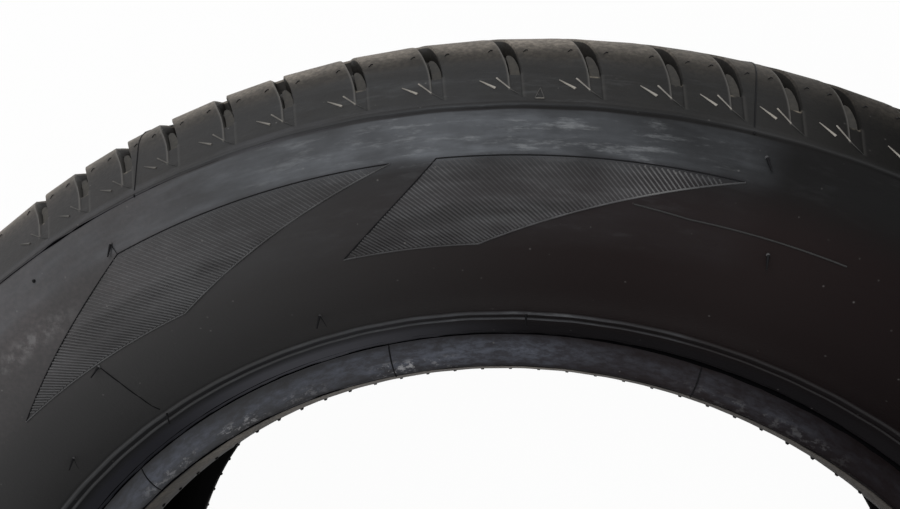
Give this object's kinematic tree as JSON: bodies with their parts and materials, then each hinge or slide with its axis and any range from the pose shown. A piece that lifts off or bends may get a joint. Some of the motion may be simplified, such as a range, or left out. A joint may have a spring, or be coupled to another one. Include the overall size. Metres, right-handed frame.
{
  "type": "car tyre",
  "caption": "Passenger car tyre lying on its side: hollow rubber ring with a grooved tread, slotted shoulders, bulging sidewalls and two beads that grip a wheel rim.",
  "frame": {"origin": "centre of the tyre, on the axle line and midway between the two sidewalls", "axes": "+Z along the axle line, up as the tyre lies on its side, with the pictured sidewall on top; +X to the right of the picture"},
  "size_m": [0.6539, 0.654, 0.233],
  "materials": {
    "tyre_rubber": "dusty dark grey moulded rubber"
  },
  "bodies": {
    "root": {"tyre": "tyre_rubber"}
  },
  "joints": []
}
